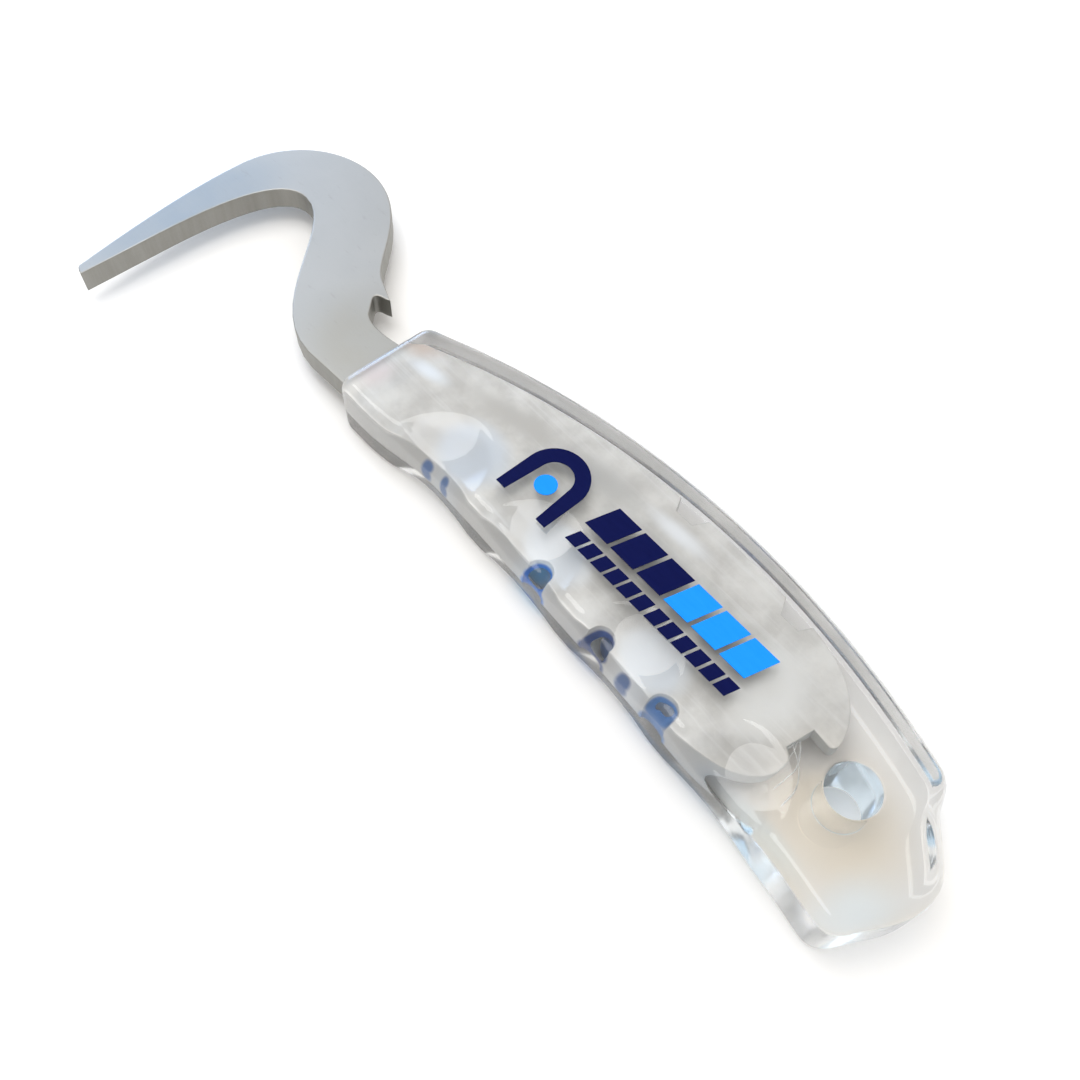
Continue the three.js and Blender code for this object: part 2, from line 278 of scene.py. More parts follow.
studio = {
    "floorColor": (0.95, 0.938, 0.922),
    "floorRoughness": 0.8,
    "floorReach": 1.6,
    "floorGap": 0.2,  # mm under the handle
    "skyLow": (0.93, 0.92, 0.90),
    "skyHigh": (0.97, 0.955, 0.93),
    "skyPatches": (  # where each stands, the cosines at which it fades in and is whole, and its colour
        ((-0.90, 0.05, 0.43), (0.86, 0.97), (0.72, 0.84, 1.02)),  # blue sky
        ((-0.92, 0.29, 0.24), (0.925, 0.995), (3.8, 4.8, 6.4)),  # a bright window
    ),
    "softboxPower": 1.1,  # an oval softbox overhead
    "softboxSize": (0.50, 0.26),
    "softboxPlace": (-0.14, -0.01, 0.5),
    "glossyBounces": 16,  # light turns back many times inside clear plastic
    "clearBounces": 16,
    "allBounces": 24,
}


def makeFloor():
    material = bpy.data.materials.new("pale floor")
    material.use_nodes = True
    shader = material.node_tree.nodes["Principled BSDF"]
    shader.inputs["Base Color"].default_value = (*studio["floorColor"], 1)
    shader.inputs["Roughness"].default_value = studio["floorRoughness"]
    r = studio["floorReach"]
    z = handleLow.z - studio["floorGap"] * mm
    corners = [(-r, -r, z), (r, -r, z), (r, r, z), (-r, r, z)]
    floor = newPiece("floor", corners, [(0, 1, 2, 3)], material, smooth=False)


def makeSky():
    world = bpy.data.worlds.new("studio")
    bpy.context.scene.world = world
    world.use_nodes = True
    tree = world.node_tree
    direction = addNode(tree, "ShaderNodeTexCoord").outputs["Generated"]
    ramp = addNode(tree, "ShaderNodeValToRGB")
    ramp.color_ramp.elements[0].color = (*studio["skyLow"], 1)
    ramp.color_ramp.elements[1].color = (*studio["skyHigh"], 1)
    feed(tree, ramp.inputs[0], splitOf(tree, direction)["Z"])
    color = ramp.outputs[0]
    for toward, fade, patchColor in studio["skyPatches"]:
        side = addNode(tree, "ShaderNodeVectorMath", operation="DOT_PRODUCT")
        side.inputs[1].default_value = Vector(toward).normalized()
        feed(tree, side.inputs[0], direction)
        color = mixColor(tree, rangeOf(tree, side.outputs["Value"], fade, (0, 1)), color, patchColor)
    feed(tree, tree.nodes["Background"].inputs["Color"], color)


def makeLamp():
    lamp = bpy.data.lights.new("softbox", "AREA")
    lamp.shape = "ELLIPSE"
    lamp.energy = studio["softboxPower"]
    lamp.size, lamp.size_y = studio["softboxSize"]
    softbox = bpy.data.objects.new("softbox", lamp)
    bpy.context.scene.collection.objects.link(softbox)
    softbox.location = studio["softboxPlace"]


makeCamera()
makeFloor()
makeSky()
makeLamp()
bpy.context.scene.view_settings.view_transform = "Standard"
bpy.context.scene.cycles.glossy_bounces = studio["glossyBounces"]
bpy.context.scene.cycles.transmission_bounces = studio["clearBounces"]
bpy.context.scene.cycles.max_bounces = studio["allBounces"]
print("stage: camera, floor and light")


# a material, its tree and its shader's sockets
def newMaterial(name):
    material = bpy.data.materials.new(name)
    material.use_nodes = True
    tree = material.node_tree
    return material, tree, tree.nodes["Principled BSDF"].inputs


# a shader group with named inputs and one output, its inputs' sockets and its output's
def newGroup(name, inputs, output):
    group = bpy.data.node_groups.new(name, "ShaderNodeTree")
    for label, value in inputs.items():
        kind = "NodeSocketVector" if isinstance(value, tuple) else "NodeSocketFloat"
        socket = group.interface.new_socket(label, in_out="INPUT", socket_type=kind)
        socket.default_value = value
    group.interface.new_socket(output, in_out="OUTPUT", socket_type="NodeSocketFloat")
    source, sink = group.nodes.new("NodeGroupInput"), group.nodes.new("NodeGroupOutput")
    return group, source.outputs, sink.inputs[output]


def useGroup(tree, group, **values):
    node = addNode(tree, "ShaderNodeGroup", node_tree=group)
    for key, value in values.items():
        node.inputs[key].default_value = value
    return node.outputs[0]


def coordinates(tree, kind="Object"):
    return addNode(tree, "ShaderNodeTexCoord").outputs[kind]


# noise drawn out along the tool, as brushing and polishing leave it
def grainGroup():
    group, size, value = newGroup("drawn grain", {"Fineness": 900.0, "Stretch": 0.04}, "Value")
    x, y, z = splitOf(group, coordinates(group))
    noise = addNode(group, "ShaderNodeTexNoise", Detail=3.0, Roughness=0.6)
    drawn = joined(group, calculate(group, "MULTIPLY", x, size["Stretch"]), y, z)
    feed(group, noise.inputs["Vector"], drawn)
    feed(group, noise.inputs["Scale"], size["Fineness"])
    feed(group, value, noise.outputs["Fac"])
    return group


# soft patches of a size in mm, such as handling leaves on steel and cooling leaves on plastic
def patchGroup():
    inputs = {"Size": 12.0, "Sharpness": 0.3, "Detail": 4.0}
    group, size, mask = newGroup("soft patches", inputs, "Mask")
    noise = addNode(group, "ShaderNodeTexNoise", Roughness=0.55)
    feed(group, noise.inputs["Vector"], coordinates(group))
    feed(group, noise.inputs["Scale"], calculate(group, "DIVIDE", 1 / mm, size["Size"]))
    feed(group, noise.inputs["Detail"], size["Detail"])
    low = calculate(group, "SUBTRACT", 0.5, size["Sharpness"])
    high = calculate(group, "ADD", 0.5, size["Sharpness"])
    feed(group, mask, rangeOf(group, noise.outputs["Fac"], (low, high), (0, 1)))
    return group


# an oval spot that is whole out to its edge and fades away at its reach
def spotGroup():
    inputs = {"Place": (0, 0, 0), "Reach": (mm, mm, mm), "Turn": (0, 0, 0), "Edge": 0.2}
    group, size, mask = newGroup("soft spot", inputs, "Mask")
    local = addNode(group, "ShaderNodeMapping", vector_type="TEXTURE")
    feed(group, local.inputs["Vector"], coordinates(group))
    feed(group, local.inputs["Location"], size["Place"])
    feed(group, local.inputs["Rotation"], size["Turn"])
    feed(group, local.inputs["Scale"], size["Reach"])
    distance = addNode(group, "ShaderNodeVectorMath", operation="LENGTH")
    feed(group, distance.inputs[0], local.outputs[0])
    feed(group, mask, rangeOf(group, distance.outputs["Value"], (size["Edge"], 1), (1, 0)))
    return group


# whole on upright walls, fading away as the normal's rise goes from low to high
def wallGroup():
    group, size, mask = newGroup("upright walls", {"Low": 0.5, "High": 0.9}, "Mask")
    rise = calculate(group, "ABSOLUTE", splitOf(group, coordinates(group, "Normal"))["Z"])
    feed(group, mask, rangeOf(group, rise, (size["Low"], size["High"]), (1, 0)))
    return group


grain = grainGroup()
patches = patchGroup()
softSpot = spotGroup()
uprightWalls = wallGroup()


# a colour with soft spots of other colours laid over it, each at a place on the tool
def spotted(tree, color, paintedLightAndToneSpots):
    for place, reach, turn, edge, spotColor in paintedLightAndToneSpots:
        values = {
            "Place": onTool(*place),
            "Reach": Vector(reach) * mm,
            "Turn": (0, 0, math.radians(turn)),
            "Edge": edge,
        }
        color = mixColor(tree, useGroup(tree, softSpot, **values), color, spotColor)
    return color


def bumpFrom(tree, height, strength, depth):
    node = addNode(tree, "ShaderNodeBump", Strength=strength, Distance=depth * mm)
    feed(tree, node.inputs["Height"], height)
    return node.outputs[0]


steelLook = {
    "face": (0.405, 0.40, 0.385),
    "faceWorn": (0.365, 0.365, 0.355),
    "wornShare": 0.35,
    "worn": {"Size": 9.0, "Sharpness": 0.25},
    "scratch": (0.27, 0.26, 0.24),
    "scratchFade": (0.62, 0.74),
    "scratchShare": 0.22,
    "scratches": {"Fineness": 1500.0, "Stretch": 0.25},
    "faceReflectionAndToneSpots": (  # place and reach in mm, turn in degrees, edge, colour: a painted reflection of blue sky on the hook arm, and a darker, warmer patch at the neck
        ((-52.0, -8.0, 0), (13.0, 27.0, 100), 0, 0.3, (0.298, 0.325, 0.345)),
        ((-5.0, 0.0, 0), (17.0, 17.0, 100), 0, 0.3, (0.350, 0.338, 0.305)),
    ),
    "faceRoughness": 0.40,
    "cutEdge": (0.26, 0.255, 0.235),
    "cutStreak": (0.36, 0.355, 0.335),
    "streaks": (900, 900, 90),  # saw streaks run through the plate's thickness
    "cutRoughness": 0.55,
    "tangStart": (-0.1, 0.5),  # mm from the handle's front face
    "tang": (0.83, 0.82, 0.79),
    "tangDull": (0.61, 0.595, 0.565),
    "mottle": {"Size": 7.0, "Sharpness": 0.2, "Detail": 5.0},
    "tangBrushed": (0.91, 0.91, 0.90),
    "brushedFade": (0.5, 0.75),
    "brushedShare": 0.35,
    "brushed": {"Fineness": 1100.0, "Stretch": 0.03},
    "tangWall": (0.64, 0.635, 0.62),
    "tangLightAndToneSpots": (  # as faceReflectionAndToneSpots: whiter under the scoops as painted highlights, blue in the notches as painted reflections, and patches of tone
        # warmer and pinkish patches at the front
        ((2.5, 5.5, 0), (6.0, 3.5, 100), 30, 0.1, (0.64, 0.55, 0.49)),
        ((2.0, -4.0, 0), (4.0, 5.0, 100), 0, 0.1, (0.76, 0.69, 0.68)),
        # painted highlights on the tang under the three scoops
        ((25.0, -1.8, 0), (8.5, 7.2, 100), -8, 0.5, (0.72, 0.77, 0.83)),
        ((47.5, -3.2, 0), (8.0, 6.0, 100), -8, 0.5, (0.89, 0.93, 0.97)),
        ((70.0, -4.5, 0), (7.5, 6.0, 100), -8, 0.5, (0.86, 0.90, 0.94)),
        # painted highlight streaks near the front and by the back
        ((7.5, 3.0, 0), (6.0, 2.2, 100), 12, 0.1, (0.92, 0.96, 1.0)),
        ((57.0, 13.0, 0), (9.0, 2.4, 100), 3, 0.1, (0.92, 0.94, 0.96)),
        # darker patches, and a lighter one at the rear
        ((58.0, 7.5, 0), (15.0, 4.5, 100), 0, 0.1, (0.56, 0.555, 0.535)),
        ((24.0, 8.0, 0), (16.0, 3.0, 100), 14, 0.1, (0.60, 0.585, 0.555)),
        ((42.0, 11.0, 0), (11.0, 4.5, 100), 8, 0.1, (0.58, 0.575, 0.555)),
        ((84.0, 5.0, 0), (8.0, 10.0, 100), 15, 0.3, (0.86, 0.86, 0.84)),
        # painted blue reflections on the belly walls and in the notches
        ((21.0, -7.2, 5.0), (1.6, 1.5, 2.4), 0, 0.5, (0.10, 0.20, 0.45)),
        ((25.5, -7.0, 5.0), (1.2, 1.2, 2.4), 0, 0.5, (0.10, 0.20, 0.45)),
        ((69.0, -8.4, 5.0), (1.8, 1.4, 2.4), 0, 0.5, (0.10, 0.18, 0.40)),
        ((48.2, -7.6, 3.8), (3.2, 3.2, 3.6), 0, 0.75, (0.03, 0.24, 0.80)),
        ((62.2, -8.1, 3.6), (3.3, 3.3, 4.2), 0, 0.8, (0.03, 0.08, 0.28)),
        ((76.2, -8.9, 3.8), (3.2, 3.2, 3.6), 0, 0.75, (0.14, 0.30, 0.62)),
    ),
    "tangRoughness": 0.48,
    "tangMetallic": 0.35,
    "fine": {"Fineness": 2600.0, "Stretch": 0.03},
    "speck": {"Fineness": 3800.0, "Stretch": 1.0},
    "fineRoughness": 0.12,
    "bump": 0.35,
    "bumpDepth": 0.02,  # mm
    "walls": {"Low": 0.5, "High": 0.9},
}


# the plate's bare faces and cut edges, and a paler tang that is seen through the plastic, with painted
# highlights and reflections laid into the colour
def steelFinish():
    look = steelLook
    material, tree, shader = newMaterial("satin steel")
    wall = useGroup(tree, uprightWalls, **look["walls"])
    tangStart = [handleLow.x + x * mm for x in look["tangStart"]]
    inside = rangeOf(tree, splitOf(tree, coordinates(tree))["X"], tangStart, (0, 1))
    fine = useGroup(tree, grain, **look["fine"])
    speck = useGroup(tree, grain, **look["speck"])

    # a painted blue sky reflection on the hook arm and a darker, warmer patch at the neck, laid into the
    # face's colour
    face = spotted(tree, look["face"], look["faceReflectionAndToneSpots"])
    worn = rangeOf(tree, useGroup(tree, patches, **look["worn"]), (0, 1), (0, look["wornShare"]))
    face = mixColor(tree, worn, face, look["faceWorn"])
    scratches = useGroup(tree, grain, **look["scratches"])
    scratched = rangeOf(tree, scratches, look["scratchFade"], (0, look["scratchShare"]))
    face = mixColor(tree, scratched, face, look["scratch"])

    streakPlace = addNode(tree, "ShaderNodeMapping", Scale=look["streaks"])
    feed(tree, streakPlace.inputs["Vector"], coordinates(tree))
    streak = addNode(tree, "ShaderNodeTexNoise", Scale=1.0, Detail=5.0)
    feed(tree, streak.inputs["Vector"], streakPlace.outputs[0])
    cut = mixColor(tree, streak.outputs["Fac"], look["cutEdge"], look["cutStreak"])

    mottle = useGroup(tree, patches, **look["mottle"])
    tang = mixColor(tree, mottle, look["tang"], look["tangDull"])
    brushed = useGroup(tree, grain, **look["brushed"])
    brushed = rangeOf(tree, brushed, look["brushedFade"], (0, look["brushedShare"]))
    tang = mixColor(tree, brushed, tang, look["tangBrushed"])
    tang = mixColor(tree, wall, tang, look["tangWall"])
    # painted highlights under the scoops, painted blue reflections in the notches and patches of tone laid
    # over the tang
    tang = spotted(tree, tang, look["tangLightAndToneSpots"])
    feed(tree, shader["Base Color"], mixColor(tree, inside, mixColor(tree, wall, face, cut), tang))

    tangMetal = rangeOf(tree, wall, (0, 1), (look["tangMetallic"], 0))
    feed(tree, shader["Metallic"], mixValue(tree, inside, 1.0, tangMetal))
    bareRough = mixValue(tree, wall, look["faceRoughness"], look["cutRoughness"])
    rough = mixValue(tree, inside, bareRough, look["tangRoughness"])
    spread = look["fineRoughness"]
    grainRough = calculate(tree, "MULTIPLY_ADD", fine, spread, -spread / 2)
    feed(tree, shader["Roughness"], calculate(tree, "ADD", rough, grainRough))
    height = calculate(tree, "ADD", fine, speck)
    feed(tree, shader["Normal"], bumpFrom(tree, height, look["bump"], look["bumpDepth"]))
    return material


plasticLook = {
    "refraction": 1.49,
    "clear": (0.975, 0.973, 0.966),
    "hazy": (0.955, 0.955, 0.950),
    "haze": {"Size": 5.0, "Sharpness": 0.3, "Detail": 3.0},
    "paintedLightAndToneSpots": (  # place and reach in mm, turn in degrees, edge, colour; all painted light, listed below
        # painted beige surroundings seen through the rear, round the hole
        ((102.5, -1.0, 0), (16.0, 13.5, 100), -10, 0.3, (0.938, 0.888, 0.808)),
        # painted bluish reflections on the front rim and the front corner
        ((0.5, -1.0, 11), (1.3, 9.0, 2.6), 0, 0.5, (0.66, 0.80, 1.0)),
        ((2.0, 8.6, 8), (3.6, 2.6, 6.0), 45, 0.3, (0.66, 0.82, 1.0)),
        # a painted grey shadow of the tang's rear slot, above the hole
        ((94.5, 5.5, 0), (8.0, 4.5, 2.5), 60, 0.2, (0.80, 0.80, 0.81)),
        # painted bluish reflections along the low belly, at the toe and in the hole's bore
        ((97.0, -11.5, 0), (12.0, 2.6, 100), -8, 0.2, (0.82, 0.93, 1.0)),
        ((113.0, -8.0, 0), (7.0, 8.0, 100), 0, 0.2, (0.95, 0.985, 1.0)),
        ((101.5, 2.0, 0), (4.1, 4.1, 100), 0, 0.98, (0.62, 0.82, 1.0)),
        # painted blue reflections in the notches and along the belly
        ((46.8, -8.0, 1), (5.5, 5.5, 3.2), -8, 0.5, (0.10, 0.47, 1.0)),
        ((60.5, -7.5, 1), (5.5, 6.5, 4.0), -8, 0.5, (0.09, 0.22, 0.62)),
        ((75.0, -9.2, 1), (6.0, 5.6, 3.2), -8, 0.5, (0.25, 0.50, 0.95)),
        ((84.5, -11.0, 1), (11.0, 4.0, 4.0), -6, 0.4, (0.25, 0.42, 0.68)),
    ),
    "scuffs": {"Fineness": 700.0, "Stretch": 0.15},
    "faceScuffed": (0.5, 0.8),  # the grain's values between which a face goes from smooth to scuffed
    "faceRoughness": (0.015, 0.07),
    "sideScuffed": (0.3, 0.8),
    "sideRoughness": 0.22,
    "sideSpread": (0.8, 1.2),
    "sides": {"Low": 0.2, "High": 0.9},
    "ripples": {"Size": 16.0, "Sharpness": 0.5, "Detail": 0.0},
    "ripple": 0.25,
    "rippleDepth": 0.5,  # mm
}


# polished faces, rougher sides and a slow ripple, with painted reflections and a painted shadow laid into
# the colour
def plasticFinish():
    look = plasticLook
    material, tree, shader = newMaterial("clear plastic")
    shader["IOR"].default_value = look["refraction"]
    shader["Transmission Weight"].default_value = 1
    color = mixColor(tree, useGroup(tree, patches, **look["haze"]), look["clear"], look["hazy"])
    # painted reflections and a painted shadow laid over the plastic's colour
    feed(tree, shader["Base Color"], spotted(tree, color, look["paintedLightAndToneSpots"]))
    scuff = useGroup(tree, grain, **look["scuffs"])
    faceRough = rangeOf(tree, scuff, look["faceScuffed"], look["faceRoughness"])
    sideRough = rangeOf(tree, scuff, look["sideScuffed"], look["sideSpread"])
    sideRough = calculate(tree, "MULTIPLY", sideRough, look["sideRoughness"])
    side = useGroup(tree, uprightWalls, **look["sides"])
    feed(tree, shader["Roughness"], mixValue(tree, side, faceRough, sideRough))
    ripples = useGroup(tree, patches, **look["ripples"])
    feed(tree, shader["Normal"], bumpFrom(tree, ripples, look["ripple"], look["rippleDepth"]))
    return material


threadLook = {
    "thin": (0.86, 0.88, 0.9),
    "thick": (0.98, 0.98, 0.97),
    "cover": (0.45, 0.8),
    "veil": {"Size": 2.0, "Sharpness": 0.3, "Detail": 1.0},
    "roughness": 0.5,
}


def threadFinish():
    look = threadLook
    material, tree, shader = newMaterial("flow thread")
    shader["Roughness"].default_value = look["roughness"]
    veil = useGroup(tree, patches, **look["veil"])
    feed(tree, shader["Base Color"], mixColor(tree, veil, look["thin"], look["thick"]))
    feed(tree, shader["Alpha"], rangeOf(tree, veil, (0, 1), look["cover"]))
    return material


inkLook = {
    "navy": ((0.001, 0.003, 0.045), (0.003, 0.006, 0.065)),  # whole and worn
    "sky": ((0.008, 0.25, 0.90), (0.015, 0.29, 0.98)),
    "wear": {"Fineness": 1500.0, "Stretch": 0.2},
    "roughness": 0.35,
    "shine": 0.05,
}


def inkFinish(kind):
    look = inkLook
    material, tree, shader = newMaterial(f"{kind} ink")
    shader["Roughness"].default_value = look["roughness"]
    shader["Specular IOR Level"].default_value = look["shine"]
    wear = useGroup(tree, grain, **look["wear"])
    feed(tree, shader["Base Color"], mixColor(tree, wear, *look[kind]))
    return material


steelMaterial = steelFinish()
plasticMaterial = plasticFinish()
threadMaterial = threadFinish()
navyMaterial = inkFinish("navy")
skyMaterial = inkFinish("sky")
print("stage: finishes")


steel = {
    "edgeBreak": 0.2,  # mm, softened rim all round the plate
    "edgeSteps": 3,
    "outlineGap": 0.35,
}


# a plate from its outline, with a rounded rim of the given radius and a loop close behind it on each side
def plateFrom(ring, low, high, radius, steps):
    normal = outward(ring)
    held = 1.5 * radius
    profile = [(held, low)]
    profile += [(inset, low + height) for inset, height in roundedEdge(radius, steps)]
    profile.append((0, low + held))
    profile += [(inset, low + high - height) for inset, height in profile[::-1]]
    count = len(ring)
    verts = []
    for inset, height in profile:
        verts += [(x, y, height) for x, y in ring - normal * inset]
    faces = bands(len(profile), count, rising=True)
    top = (len(profile) - 1) * count
    faces.append(tuple(range(count))[::-1])
    faces.append(tuple(range(top, top + count)))
    return verts, faces


def plateOutline():
    return thinned(ringAt("hook_and_tang", steelHigh.z), steel["outlineGap"] * mm)


def makeHook():
    rim = steel["edgeBreak"] * mm
    verts, faces = plateFrom(plateOutline(), steelLow.z, steelHigh.z, rim, steel["edgeSteps"])
    piece = newPiece("steel_hook", verts, faces, steelMaterial)
    piece.data.set_sharp_from_angle(angle=sharpAngle)
    return piece


hook = makeHook()
print("stage: hook and tang")


# a geometry tree with named inputs, its inputs' sockets and its output's
def newTree(name, inputs):
    tree = bpy.data.node_groups.new(name, "GeometryNodeTree")
    tree.interface.new_socket("Geometry", in_out="INPUT", socket_type="NodeSocketGeometry")
    for label, kind in inputs.items():
        tree.interface.new_socket(label, in_out="INPUT", socket_type=f"NodeSocket{kind}")
    tree.interface.new_socket("Material", in_out="INPUT", socket_type="NodeSocketMaterial")
    tree.interface.new_socket("Geometry", in_out="OUTPUT", socket_type="NodeSocketGeometry")
    source, sink = tree.nodes.new("NodeGroupInput"), tree.nodes.new("NodeGroupOutput")
    return tree, source.outputs, sink.inputs[0]


# every tree ends with its copies made real and its material set
def endTree(tree, geometry, material, sink):
    realize = addNode(tree, "GeometryNodeRealizeInstances")
    paint = addNode(tree, "GeometryNodeSetMaterial")
    feed(tree, realize.inputs[0], geometry)
    feed(tree, paint.inputs["Geometry"], realize.outputs[0])
    feed(tree, paint.inputs["Material"], material)
    feed(tree, sink, paint.outputs[0])
    return tree


# a row of points that step off from a first one
def pointRow(tree, count, first, step):
    row = addNode(tree, "GeometryNodeMeshLine")
    feed(tree, row.inputs["Count"], count)
    feed(tree, row.inputs["Start Location"], first)
    feed(tree, row.inputs["Offset"], step)
    return row.outputs[0]


# a modifier's inputs are set by their identifiers, before anything evaluates it
def applyTree(piece, tree, values):
    modifier = piece.modifiers.new(tree.name, "NODES")
    modifier.node_group = tree
    for item in tree.interface.items_tree:
        if item.item_type == "SOCKET" and item.in_out == "INPUT" and item.name in values:
            modifier[item.identifier] = values[item.name]
    settle(piece)


handle = {
    "edgeRadius": 2.2,  # mm
    "edgeRadiusBelow": 1.0,
    "edgeSteps": 7,
    "alongSteps": 220,
    "acrossSteps": 56,
    "holeRadius": 4.0,
    "holeMouth": 0.3,
    "holeMouthSteps": 6,
    "holeTurns": 96,
    "holePlace": (101.5, 2.0),
    "bite": 0.05,  # mm that the pocket lies inside the steel, so that no air shows between them
    "pocketEdge": 0.01,
    "firstScoop": 23.0,  # finger scoops along the belly, from the front face
    "scoopPitch": 22.2,
    "scoopCount": 4,
    "scoopHalf": 9.2,
    "scoopReach": 11.0,
    "scoopDepth": 2.1,
    "scoopSoft": 0.1,
}


# the face between four edge curves: belly, back, front and rear
def facePatch(belly, back, front, rear):
    nu, nv = len(belly) - 1, len(front) - 1
    u = np.linspace(0, 1, nu + 1)[:, None, None]
    v = np.linspace(0, 1, nv + 1)[None, :, None]
    ruledU = belly[:, None] * (1 - v) + back[:, None] * v
    ruledV = front[None] * (1 - u) + rear[None] * u
    corners = (
        belly[0] * (1 - u) * (1 - v) + belly[-1] * u * (1 - v) + back[0] * (1 - u) * v + back[-1] * u * v
    )
    return ruledU + ruledV - corners


# the handle's outline in four evenly stepped sides: belly, rear, back and front
def handleSides():
    ring = splined(ringAt("clear_handle", handleLow.z + handle["edgeRadius"] * mm))
    centre = ring.mean(axis=0)
    corners = []
    for way in ((-1, -1), (1, -1), (1, 1), (-1, 1)):
        corners.append(int(np.argmax((ring - centre) @ np.array(way))))
    ring = np.roll(ring, -corners[0], axis=0)
    corners = [(c - corners[0]) % len(ring) for c in corners] + [len(ring)]
    closed = np.vstack([ring, ring[:1]])
    counts = [handle["alongSteps"], handle["acrossSteps"]] * 2
    return [evenly(closed[a : b + 1], n)[:-1] for a, b, n in zip(corners, corners[1:], counts)]


# adds a flat face as a grid inside its edge ring, whose points already stand in verts from base on
def addFace(verts, faces, edge, base, z, flip):
    nu, nv = handle["alongSteps"], handle["acrossSteps"]
    belly = edge[: nu + 1]
    rear = edge[nu : nu + nv + 1]
    back = edge[nu + nv : 2 * nu + nv + 1][::-1]
    front = np.vstack([edge[2 * nu + nv :], edge[:1]])[::-1]
    patch = facePatch(belly, back, front, rear)
    index = np.full((nu + 1, nv + 1), -1)
    index[:, 0] = base + np.arange(nu + 1)
    index[nu, :] = base + nu + np.arange(nv + 1)
    index[:, nv] = base + (nu + nv + np.arange(nu + 1))[::-1]
    index[0, :] = (base + (2 * nu + nv + np.arange(nv + 1)) % len(edge))[::-1]
    for i in range(1, nu):
        for j in range(1, nv):
            index[i, j] = len(verts)
            verts.append((patch[i, j, 0], patch[i, j, 1], z))
    for i in range(nu):
        for j in range(nv):
            quad = (index[i, j], index[i + 1, j], index[i + 1, j + 1], index[i, j + 1])
            faces.append(tuple(int(q) for q in (quad[::-1] if flip else quad)))


def handleShell():
    sides = handleSides()
    outline = np.vstack(sides)
    normal = outward(outline)
    steps = handle["edgeSteps"]
    above = roundedEdge(handle["edgeRadius"] * mm, steps)
    below = roundedEdge(handle["edgeRadiusBelow"] * mm, steps)[::-1]
    rows = [(inset, handleHigh.z - height) for inset, height in above]
    rows += [(inset, handleLow.z + height) for inset, height in below]
    verts = []
    for inset, z in rows:
        verts += [(x, y, z) for x, y in outline - normal * inset]
    faces = bands(len(rows), len(outline), rising=False)
    for level, flip in ((0, False), (len(rows) - 1, True)):
        inset, z = rows[level]
        addFace(verts, faces, outline - normal * inset, level * len(outline), z, flip)
    piece = newPiece("clear_grip", verts, faces, plasticMaterial)
    bellyX, bellyY = sides[0].T
    inward = [v.co.y - np.interp(v.co.x, bellyX, bellyY) for v in piece.data.vertices]
    attribute = piece.data.attributes.new("fromBelly", "FLOAT", "POINT")
    attribute.data.foreach_set("value", inward)
    return piece


# scoops that press the two faces together at an even pitch along the belly
def scoopTree():
    sizes = ["First", "Pitch", "Last", "Half Length", "Reach", "Depth", "Softness", "Middle", "Half Height"]
    tree, size, sink = newTree("finger scoops", dict.fromkeys(sizes, "Float"))
    position = addNode(tree, "GeometryNodeInputPosition")
    x, y, z = splitOf(tree, position.outputs[0])
    belly = addNode(tree, "GeometryNodeInputNamedAttribute", data_type="FLOAT", Name="fromBelly")
    along = calculate(tree, "SUBTRACT", x, size["First"])
    turn = calculate(tree, "ROUND", calculate(tree, "DIVIDE", along, size["Pitch"]))
    turn = calculate(tree, "MINIMUM", calculate(tree, "MAXIMUM", turn, 0.0), size["Last"])
    local = calculate(tree, "SUBTRACT", along, calculate(tree, "MULTIPLY", turn, size["Pitch"]))
    local = calculate(tree, "ABSOLUTE", calculate(tree, "DIVIDE", local, size["Half Length"]))
    across = calculate(tree, "DIVIDE", belly.outputs["Attribute"], size["Reach"])
    across = calculate(tree, "ABSOLUTE", across)
    bowl = calculate(tree, "SUBTRACT", 1.0, calculate(tree, "POWER", local, 2.0))
    bowl = calculate(tree, "SUBTRACT", bowl, calculate(tree, "POWER", across, 2.0))
    bowl = calculate(tree, "SMOOTH_MAX", bowl, 0.0, size["Softness"])
    dip = calculate(tree, "DIVIDE", calculate(tree, "MULTIPLY", bowl, size["Depth"]), size["Half Height"])
    level = calculate(tree, "SUBTRACT", z, size["Middle"])
    drop = calculate(tree, "MULTIPLY", calculate(tree, "MULTIPLY", level, dip), -1.0)
    shift = addNode(tree, "GeometryNodeSetPosition")
    feed(tree, shift.inputs["Geometry"], size["Geometry"])
    feed(tree, shift.inputs["Offset"], joined(tree, z=drop))
    return endTree(tree, shift.outputs[0], size["Material"], sink)


def pressScoops(piece):
    values = {
        "First": onTool(handle["firstScoop"], 0).x,
        "Pitch": handle["scoopPitch"] * mm,
        "Last": float(handle["scoopCount"] - 1),
        "Half Length": handle["scoopHalf"] * mm,
        "Reach": handle["scoopReach"] * mm,
        "Depth": handle["scoopDepth"] * mm,
        "Softness": handle["scoopSoft"],
        "Middle": plateMiddle,
        "Half Height": (handleHigh.z - handleLow.z) / 2,
        "Material": plasticMaterial,
    }
    applyTree(piece, scoopTree(), values)


def cutFrom(piece, cutter):
    modifier = piece.modifiers.new("cut", "BOOLEAN")
    modifier.operation = "DIFFERENCE"
    modifier.solver = "EXACT"
    modifier.object = cutter
    settle(piece)
    bpy.data.objects.remove(cutter)


